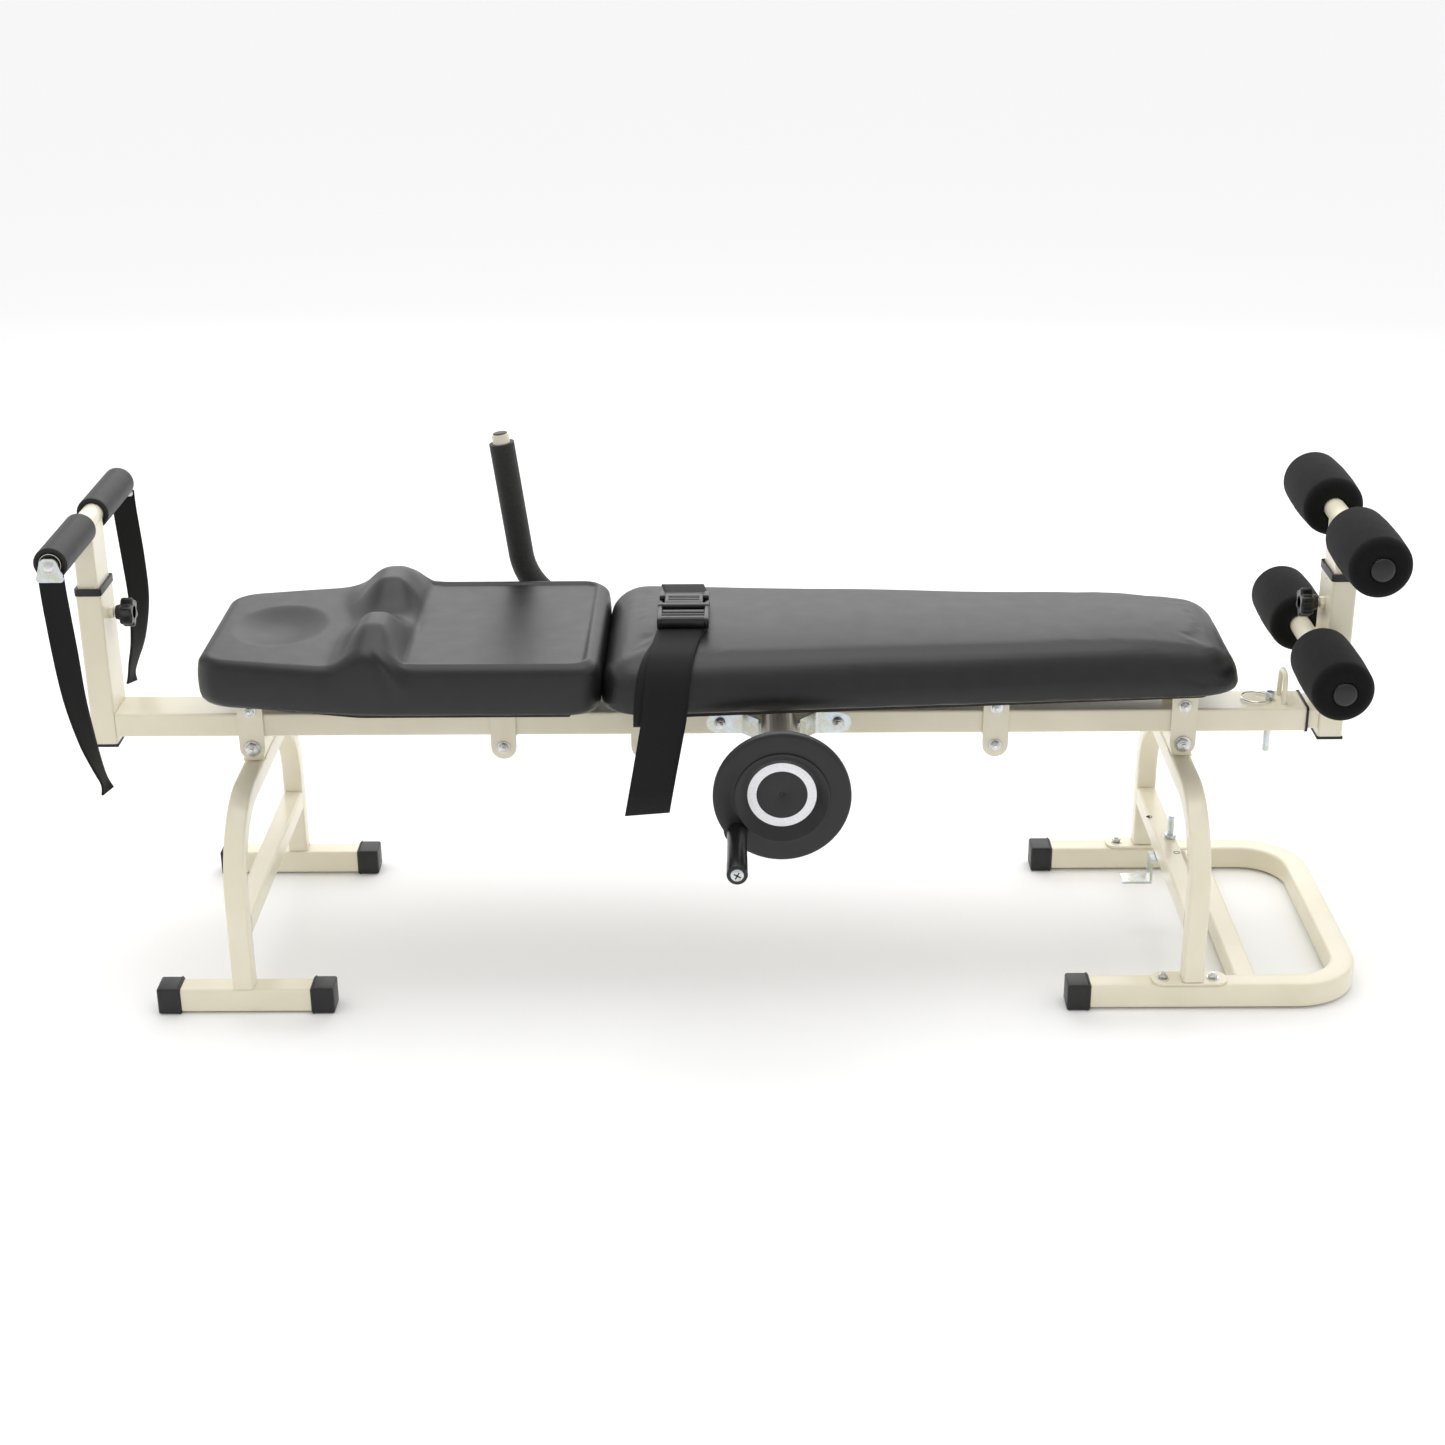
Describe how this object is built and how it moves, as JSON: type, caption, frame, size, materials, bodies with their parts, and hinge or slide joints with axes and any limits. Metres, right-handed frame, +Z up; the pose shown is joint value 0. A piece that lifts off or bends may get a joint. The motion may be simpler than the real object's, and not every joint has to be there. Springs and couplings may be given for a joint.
{
  "type": "stretching bed",
  "caption": "Cervical and lumbar traction bed: a beam on folding legs carries a head pad, a sliding body pad moved by a hand crank, padded ankle bars, a head bar and an arm bar.",
  "frame": {"origin": "bottom centre of the bounding box, on the floor", "axes": "+X from the head end to the ankle end, +Y away from the crank, +Z up"},
  "size_m": [1.558, 0.5838, 0.6046],
  "materials": {
    "beige_paint": "satin powder coat",
    "zinc_plate": "bright zinc plate",
    "black_plastic": "satin moulded",
    "black_foam": "matt foam rubber",
    "black_vinyl": "soft-sheen PU leather",
    "black_webbing": "woven",
    "plywood": "raw",
    "bright_steel": "machined"
  },
  "bodies": {
    "frame": {"main_beam": "beige_paint", "head_sleeve": "beige_paint", "head_leg_saddle": "beige_paint", "head_pad_saddle": "beige_paint", "foot_leg_saddle": "beige_paint", "head_pad_board": "plywood", "head_pad": "black_vinyl", "crank_housing": "beige_paint", "housing_bracket_head": "zinc_plate", "housing_bracket_foot": "zinc_plate", "arm_bracket": "beige_paint", "head_pivot_bolt": "zinc_plate", "foot_pivot_bolt": "zinc_plate"},
    "carriage": {"body_pad_board": "plywood", "body_pad": "black_vinyl", "carriage_saddle_head": "beige_paint", "carriage_saddle_foot": "beige_paint", "drive_rack": "bright_steel", "waist_belt": "black_webbing", "belt_buckle": "black_plastic"},
    "crank": {"pinion_shaft": "bright_steel", "hand_wheel": "black_plastic", "crank_grip_screw": "zinc_plate"},
    "crank_handle": {"crank_grip": "black_plastic"},
    "head_leg": {"head_leg_arch": "beige_paint", "head_leg_brace": "beige_paint", "head_foot_near": "beige_paint", "head_foot_far": "beige_paint", "head_foot_cap_near_outer": "black_plastic", "head_foot_cap_near_inner": "black_plastic", "head_foot_cap_far_outer": "black_plastic", "head_foot_cap_far_inner": "black_plastic"},
    "foot_leg": {"foot_leg_arch": "beige_paint", "foot_leg_brace": "beige_paint", "base_rail": "beige_paint", "base_crossbar": "beige_paint", "base_cap_near": "black_plastic", "base_cap_far": "black_plastic", "fold_stop_stud": "zinc_plate"},
    "stop_plate": {"fold_stop": "zinc_plate"},
    "head_bar": {"head_post": "beige_paint", "head_grip_near": "black_foam", "head_grip_far": "black_foam"},
    "strap_near": {"strap_plate_near": "zinc_plate", "hand_strap_near": "black_webbing"},
    "strap_far": {"strap_plate_far": "zinc_plate", "hand_strap_far": "black_webbing"},
    "head_clamp": {"head_knob": "black_plastic"},
    "ankle_slide": {"ankle_tube": "beige_paint", "ankle_sleeve": "beige_paint"},
    "upper_bar": {"ankle_post": "beige_paint"},
    "ankle_clamp": {"ankle_knob": "black_plastic"},
    "upper_roller_near": {"roller_upper_near": "black_foam"},
    "upper_roller_far": {"roller_upper_far": "black_foam"},
    "lower_roller_near": {"roller_lower_near": "black_foam"},
    "lower_roller_far": {"roller_lower_far": "black_foam"},
    "pin": {"lock_pin": "zinc_plate"},
    "pin_ring": {"lock_ring": "bright_steel"},
    "arm": {"arm_bar": "beige_paint", "arm_foam": "black_foam"}
  },
  "joints": [
    {"name": "carriage_slide", "type": "slide", "parent": "frame", "child": "carriage", "axis": [1, 0, 0], "range_m": [0, 0.03]},
    {"name": "crank_turn", "type": "hinge", "parent": "frame", "child": "crank", "pos_m": [0.06871, -0.17915, 0.3035], "axis": [0, 1, 0], "range_deg": [0, 229.48]},
    {"name": "crank_grip_spin", "type": "hinge", "parent": "crank", "child": "crank_handle", "pos_m": [0.01751, -0.22915, 0.2605], "axis": [0, 1, 0], "continuous": true},
    {"name": "head_leg_fold", "type": "hinge", "parent": "frame", "child": "head_leg", "pos_m": [-0.57578, 0.07085, 0.2745], "axis": [0, -1, 0], "range_deg": [0, 90]},
    {"name": "foot_leg_fold", "type": "hinge", "parent": "frame", "child": "foot_leg", "pos_m": [0.56122, 0.07085, 0.2745], "axis": [0, 1, 0], "range_deg": [0, 68]},
    {"name": "fold_stop_swivel", "type": "hinge", "parent": "foot_leg", "child": "stop_plate", "pos_m": [0.56622, 0.09485, 0.09], "axis": [0, 0, 1], "range_deg": [-30, 30]},
    {"name": "head_bar_height", "type": "slide", "parent": "frame", "child": "head_bar", "axis": [0, 0, 1], "range_m": [-0.05, 0.08]},
    {"name": "strap_near_swing", "type": "hinge", "parent": "head_bar", "child": "strap_near", "pos_m": [-0.75679, -0.08955, 0.556], "axis": [0, 1, 0], "range_deg": [-45, 45]},
    {"name": "strap_far_swing", "type": "hinge", "parent": "head_bar", "child": "strap_far", "pos_m": [-0.75679, 0.23125, 0.556], "axis": [0, 1, 0], "range_deg": [-45, 45]},
    {"name": "head_knob_turn", "type": "hinge", "parent": "frame", "child": "head_clamp", "pos_m": [-0.74179, 0.07085, 0.4406], "axis": [1, 0, 0], "continuous": true},
    {"name": "ankle_reach", "type": "slide", "parent": "frame", "child": "ankle_slide", "axis": [1, 0, 0], "range_m": [0, 0.15]},
    {"name": "upper_bar_height", "type": "slide", "parent": "ankle_slide", "child": "upper_bar", "axis": [0, 0, 1], "range_m": [-0.04, 0.07]},
    {"name": "ankle_knob_turn", "type": "hinge", "parent": "ankle_slide", "child": "ankle_clamp", "pos_m": [0.72601, 0.07085, 0.445], "axis": [1, 0, 0], "continuous": true},
    {"name": "upper_roller_near_spin", "type": "hinge", "parent": "upper_bar", "child": "upper_roller_near", "pos_m": [0.74101, -0.04215, 0.547], "axis": [0, 1, 0], "continuous": true},
    {"name": "upper_roller_far_spin", "type": "hinge", "parent": "upper_bar", "child": "upper_roller_far", "pos_m": [0.74101, 0.18385, 0.547], "axis": [0, 1, 0], "continuous": true},
    {"name": "lower_roller_near_spin", "type": "hinge", "parent": "ankle_slide", "child": "lower_roller_near", "pos_m": [0.71301, -0.04215, 0.397], "axis": [0, 1, 0], "continuous": true},
    {"name": "lower_roller_far_spin", "type": "hinge", "parent": "ankle_slide", "child": "lower_roller_far", "pos_m": [0.71301, 0.18385, 0.397], "axis": [0, 1, 0], "continuous": true},
    {"name": "pin_pull", "type": "slide", "parent": "frame", "child": "pin", "axis": [0, 0, 1], "range_m": [0, 0.065]},
    {"name": "pin_ring_swing", "type": "hinge", "parent": "pin", "child": "pin_ring", "pos_m": [0.67102, 0.07085, 0.3217], "axis": [0, 1, 0], "range_deg": [0, 90]},
    {"name": "arm_swing", "type": "hinge", "parent": "frame", "child": "arm", "pos_m": [-0.17678, 0.12085, 0.328], "axis": [0, 1, 0], "range_deg": [0, 80]}
  ],
  "couplings": [
    {"joint": "crank_turn", "follows": "carriage_slide", "rad_per_m": 133.33}
  ]
}
